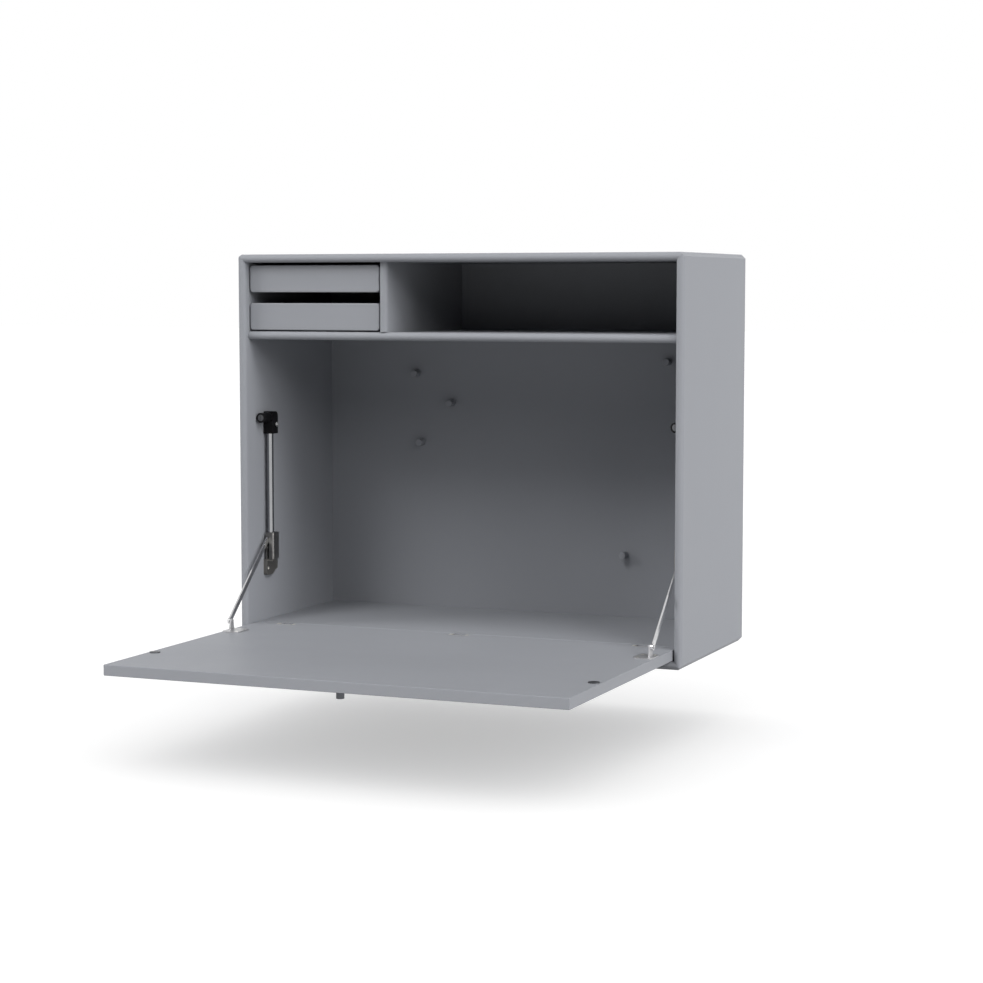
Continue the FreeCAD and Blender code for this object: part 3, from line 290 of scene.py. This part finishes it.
def flush_hinge(name, paint, bare):
    """A flange lacquered like the board around it, and a bare metal strip along the joint."""
    shader = Shader(name)
    split = shader.add("ShaderNodeSeparateXYZ")
    shader.link(shader.place, split.inputs[0])
    from_axis = shader.math("ABSOLUTE", shader.math("SUBTRACT", split.outputs["Y"], PIVOT_Y))
    strip = shader.ramp(from_axis, to=(1.0, 0.0),
                        span=(STRIP_HALF_WIDTH, STRIP_HALF_WIDTH + STRIP_FADE))
    shader.feed("Metallic", shader.math("MULTIPLY", strip, STRIP_METALLIC))
    scratches = shader.noise(scale=700.0, detail=3.0, place=shader.stretched((0.1, 1, 1)))
    normal, edge = shader.soft_edges(radius=0.0003)
    tone = shader.mix(strip, paint, bare)
    cloud = shader.noise(scale=40.0)
    mottled = shader.mix(shader.ramp(cloud, to=(0.0, 0.12)), tone, scaled(paint, 0.7))
    shader.feed("Base Color", shader.wear_and_edge_highlight(edge, 0.3, mottled, bare))
    shader.feed("Roughness", shader.math("SUBTRACT", shader.ramp(scratches, to=(0.42, 0.5)),
                                         shader.math("MULTIPLY", strip, STRIP_POLISH)))
    shader.set("Specular IOR Level", 0.2)
    shader.bump(scratches, strength=0.06, distance=0.0001, normal=normal)
    return shader.material


def hardwood(name, colour):
    """Bare beech with its fine flecks, along Y."""
    shader = Shader(name)
    grain = shader.noise(scale=160.0, detail=4.0, rough=0.6, place=shader.stretched((1, 0.06, 1)))
    fleck = shader.noise(scale=700.0, place=shader.stretched((1, 0.12, 1)))
    tone = shader.mix(shader.ramp(grain), scaled(colour, 0.8), scaled(colour, 1.12))
    flecked = shader.mix(shader.ramp(fleck, to=(0.0, 0.5), span=(0.58, 0.72)), tone,
                         scaled(colour, 0.6))
    shader.feed("Base Color", flecked)
    shader.feed("Roughness", shader.ramp(grain, to=(0.5, 0.65)))
    shader.bump(grain, strength=0.1, distance=0.0002)
    return shader.material


by_slot = {
    "lacquer": lacquer("grey_lacquer", srgb(*GREY)),
    "beech": hardwood("bare_beech", srgb(*BEECH)),
    "nickel": metal("satin_nickel", srgb(*NICKEL), 0.3, 0.05),
    "zinc": metal("zinc_plate", srgb(*ZINC), 0.38, 0.06),
    "chrome": metal("polished_chrome", srgb(*CHROME), 0.09, 0.02, streak=(1, 1, 0.05)),
    "slider_steel": metal("slider_steel", srgb(*SLIDER_STEEL), 0.3, 0.03, streak=(1, 1, 0.08)),
    "black_plastic": plastic("black_plastic", srgb(*BLACK), 0.42),
    "magnet": metal("magnet_face", srgb(*MAGNET), 0.55, 0.05),
}

arm_steel = metal("arm_steel", srgb(*ARM_STEEL), 0.14, 0.03, streak=(1, 0.3, 0.3))
foot_steel = metal("foot_steel", srgb(*FOOT_STEEL), 0.5, 0.05)
hinge_finish = flush_hinge("hinge_finish", scaled(srgb(*GREY), HINGE_PAINT), srgb(*BARE_HINGE))
screw_steel = metal("screw_steel", srgb(*SCREW_STEEL), 0.3, 0.05)
disc_steel = metal("disc_steel", srgb(*DISC_STEEL), 0.45, 0.05)
bracket_steel = metal("bracket_steel", srgb(*BRACKET_STEEL), 0.32, 0.04, metallic=0.6)

# Nodes that look unlike the rest of their slot.
by_node = {"head_screws": screw_steel}
for place in ("left", "centre", "right"):
    by_node[f"floor_hinge_{place}"] = hinge_finish
    by_node[f"leaf_hinge_{place}"] = hinge_finish
for side in ("left", "right"):
    by_node[f"{side}_stay_foot"] = foot_steel
    by_node[f"{side}_stay_arm"] = arm_steel
    by_node[f"{side}_leaf_bracket"] = bracket_steel
    by_node[f"{side}_bracket_pin"] = bracket_steel
    by_node[f"{side}_strike_disc"] = disc_steel

for entry in frame["record"]["subparts"]:
    mesh = nodes[entry["node"]].data
    mesh.materials.clear()
    mesh.materials.append(by_node.get(entry["node"]) or by_slot[entry["material_slot"]])

# ---------------------------------------------------------------- screws


def islands(mesh):
    """Groups of a mesh's points that hang together, as lists of vectors."""
    keys = [tuple(round(value, POINT_DIGITS) for value in vertex.co) for vertex in mesh.vertices]
    parent = {key: key for key in keys}

    def root(key):
        while parent[key] != key:
            parent[key] = parent[parent[key]]
            key = parent[key]
        return key

    for edge in mesh.edges:
        first, second = (root(keys[index]) for index in edge.vertices)
        parent[first] = second
    groups = {}
    for key in parent:
        groups.setdefault(root(key), []).append(Vector(key))
    return [groups[key] for key in sorted(groups)]


def measured_screw(points):
    """Top of a screw's head, the way it faces, its head and shank radius, and its length."""
    low = Vector([min(point[axis] for point in points) for axis in range(3)])
    high = Vector([max(point[axis] for point in points) for axis in range(3)])
    size = high - low
    along = max(range(3), key=lambda axis: size[axis])
    middle = (low + high) / 2

    def end_radius(place):
        reach = [point - middle for point in points if abs(point[along] - place) < END_SLICE]
        for offset in reach:
            offset[along] = 0
        return max(offset.length for offset in reach)

    radii = end_radius(low[along]), end_radius(high[along])
    head_high = radii[1] > radii[0]
    top = middle.copy()
    top[along] = high[along] if head_high else low[along]
    facing = Vector([0, 0, 0])
    facing[along] = 1 if head_high else -1
    return top, facing, max(radii), min(radii), size[along]


def ring(shape, radius, height):
    """A closed loop of points around Z."""
    return [shape.verts.new((radius * math.cos(math.tau * step / SCREW_SEGMENTS),
                             radius * math.sin(math.tau * step / SCREW_SEGMENTS), height))
            for step in range(SCREW_SEGMENTS)]


def joined(shape, upper, lower):
    """Side faces between two closed loops, facing outward."""
    count = len(upper)
    return [shape.faces.new((upper[step], lower[step], lower[(step + 1) % count],
                             upper[(step + 1) % count])) for step in range(count)]


def cross_loop(shape, head, shares, height):
    """A cross's outline; shares are its arm and half width in radii of the head."""
    arm, half = (head * share for share in shares)
    corners = ((arm, -half), (arm, half), (half, half), (half, arm), (-half, arm), (-half, half),
               (-arm, half), (-arm, -half), (-half, -half), (-half, -arm), (half, -arm),
               (half, -half))
    return [shape.verts.new((x, y, height)) for x, y in corners]


def screw_shape(head, under_head, shank, length):
    """A screw along Z, head up, with a soft rim and a tapered cross recess.

    under_head has the radius and height of each loop between the rim and the shank.
    """
    shape = bmesh.new()
    soft = head * RIM_WIDTH
    profile = ((head - soft, 0.0), (head - soft * RIM_EASE, -soft * RIM_EASE), (head, -soft),
               *under_head, (shank, -(length - shank * POINT_LENGTH)),
               (shank * POINT_RADIUS, -length))
    loops = [ring(shape, radius, height) for radius, height in profile]
    for upper, lower in zip(loops, loops[1:]):
        for face in joined(shape, upper, lower):
            face.smooth = True
    shape.faces.new(list(reversed(loops[-1])))
    rim = cross_loop(shape, head, CROSS_RIM, 0.0)
    base = cross_loop(shape, head, CROSS_BASE, -head * CROSS_DEPTH)
    for step in range(len(rim)):
        after = (step + 1) % len(rim)
        shape.faces.new((rim[step], rim[after], base[after], base[step]))
    shape.faces.new(base)
    outline = []
    for loop in (loops[0], rim):
        for step in range(len(loop)):
            pair = (loop[step], loop[(step + 1) % len(loop)])
            outline.append(shape.edges.get(pair) or shape.edges.new(pair))
    bmesh.ops.triangle_fill(shape, use_beauty=True, edges=outline, normal=(0, 0, 1))
    bmesh.ops.recalc_face_normals(shape, faces=shape.faces)
    mesh = bpy.data.meshes.new("screw")
    shape.to_mesh(mesh)
    shape.free()
    return mesh


def recessed_screws(name, node, body, material, countersunk):
    """Screws with cross recesses in place of a node's plain ones."""
    whole = bmesh.new()
    for number, points in enumerate(islands(nodes[node].data)):
        top, facing, head, shank, length = measured_screw(points)
        if countersunk:
            under_head = ((shank, -COUNTERSINK),)
        else:
            under_head = ((head, -CAP_HEIGHT + CAP_EASE), (head - CAP_EASE, -CAP_HEIGHT),
                          (shank, -CAP_HEIGHT))
        mesh = screw_shape(head, under_head, shank, length)
        in_hinge = facing.z > 0.5 and abs(top.y - PIVOT_Y) < HINGE_REACH
        for face in mesh.polygons:
            face.material_index = 1 if in_hinge else 0
        upright = facing.to_track_quat("Z", "Y").to_matrix().to_4x4()
        turn = Matrix.Rotation(math.radians(SCREW_TURN * number), 4, "Z")
        mesh.transform(Matrix.Translation(top) @ upright @ turn)
        whole.from_mesh(mesh)
        bpy.data.meshes.remove(mesh)
    mesh = bpy.data.meshes.new(name)
    whole.to_mesh(mesh)
    whole.free()
    mesh.materials.append(material)
    mesh.materials.append(hinge_finish)
    piece = bpy.data.objects.new(name, mesh)
    bpy.context.scene.collection.objects.link(piece)
    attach(piece, body)
    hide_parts(node)


recessed_screws("leaf_cross_screws", "leaf_screws", "leaf", by_slot["nickel"], True)
recessed_screws("cabinet_cross_screws", "cabinet_screws", "cabinet", by_slot["nickel"],
                True)
recessed_screws("head_cross_screws", "head_screws", "cabinet", screw_steel, False)

# ---------------------------------------------------------------- stage


def seen_directly(tree):
    """1 for camera, glossy and transmission rays."""
    path = tree.nodes.new("ShaderNodeLightPath")
    total = path.outputs["Is Camera Ray"]
    for name in ("Is Glossy Ray", "Is Transmission Ray"):
        add = tree.nodes.new("ShaderNodeMath")
        add.operation = "MAXIMUM"
        tree.links.new(total, add.inputs[0])
        tree.links.new(path.outputs[name], add.inputs[1])
        total = add.outputs[0]
    return total


def floor_material():
    """A pale floor that reads as white where nothing shades it."""
    made = bpy.data.materials.new("pale_floor")
    made.use_nodes = True
    tree = made.node_tree
    tree.nodes.clear()
    output = tree.nodes.new("ShaderNodeOutputMaterial")
    diffuse = tree.nodes.new("ShaderNodeBsdfDiffuse")
    diffuse.inputs["Color"].default_value = (FLOOR_ALBEDO, FLOOR_ALBEDO, FLOOR_ALBEDO, 1)
    light = tree.nodes.new("ShaderNodeEmission")
    strength = tree.nodes.new("ShaderNodeMath")
    strength.operation = "MULTIPLY"
    strength.inputs[1].default_value = FLOOR_GLOW
    tree.links.new(seen_directly(tree), strength.inputs[0])
    tree.links.new(strength.outputs[0], light.inputs["Strength"])
    both = tree.nodes.new("ShaderNodeAddShader")
    tree.links.new(diffuse.outputs[0], both.inputs[0])
    tree.links.new(light.outputs[0], both.inputs[1])
    tree.links.new(both.outputs[0], output.inputs["Surface"])
    return made


def light_world():
    """A faint even light that looks white in direct view."""
    world = bpy.data.worlds.new("studio")
    bpy.context.scene.world = world
    world.use_nodes = True
    tree = world.node_tree
    tree.nodes.clear()
    output = tree.nodes.new("ShaderNodeOutputWorld")
    choice = tree.nodes.new("ShaderNodeMixShader")
    tree.links.new(seen_directly(tree), choice.inputs[0])
    for socket, strength in ((choice.inputs[1], AMBIENT), (choice.inputs[2], 1.0)):
        background = tree.nodes.new("ShaderNodeBackground")
        background.inputs["Color"].default_value = WHITE
        background.inputs["Strength"].default_value = strength
        tree.links.new(background.outputs[0], socket)
    tree.links.new(choice.outputs[0], output.inputs["Surface"])


def lamp(name, azimuth, elevation, spread, strength):
    data = bpy.data.lights.new(name, "SUN")
    data.energy = strength
    data.angle = math.radians(spread)
    made = bpy.data.objects.new(name, data)
    bpy.context.scene.collection.objects.link(made)
    turn, lift = math.radians(azimuth), math.radians(elevation)
    towards = Vector((math.sin(turn) * math.cos(lift), -math.cos(turn) * math.cos(lift),
                      math.sin(lift)))
    made.location = towards * LAMP_DISTANCE
    made.rotation_mode = "QUATERNION"
    made.rotation_quaternion = towards.to_track_quat("Z", "Y")
    return made


def linked_to_floor(name, state):
    """A light linking group that takes the floor in, or leaves it out."""
    group = bpy.data.collections.new(name)
    group.objects.link(floor)
    group.collection_objects[0].light_linking.link_state = state
    return group


floor_mesh = bpy.data.meshes.new("floor")
floor_mesh.from_pydata([(x * FLOOR_REACH, y * FLOOR_REACH, FLOOR_Z)
                        for x, y in ((-1, -1), (1, -1), (1, 1), (-1, 1))], [], [(0, 1, 2, 3)])
floor_mesh.materials.append(floor_material())
floor = bpy.data.objects.new("floor", floor_mesh)
bpy.context.scene.collection.objects.link(floor)

light_world()

# The floor has a wide overhead lamp of its own, so that its shadow is soft and compact.
without_floor = linked_to_floor("without_floor", "EXCLUDE")
for number, values in enumerate(LAMPS, start=1):
    lamp(f"lamp_{number}", *values).light_linking.receiver_collection = without_floor
floor_lamp = lamp("floor_lamp", *FLOOR_LAMP)
floor_lamp.light_linking.receiver_collection = linked_to_floor("floor_alone", "INCLUDE")

camera_data = bpy.data.cameras.new("camera")
camera_data.sensor_width = CAMERA_SENSOR
camera_data.lens = CAMERA_LENS
camera_data.clip_start, camera_data.clip_end = CAMERA_CLIP
camera = bpy.data.objects.new("camera", camera_data)
bpy.context.scene.collection.objects.link(camera)
camera.location = CAMERA_PLACE
camera.rotation_euler = (math.radians(90 - CAMERA_DIP), 0, math.radians(CAMERA_TURN))
bpy.context.scene.camera = camera

bpy.context.scene.view_settings.view_transform = "Standard"
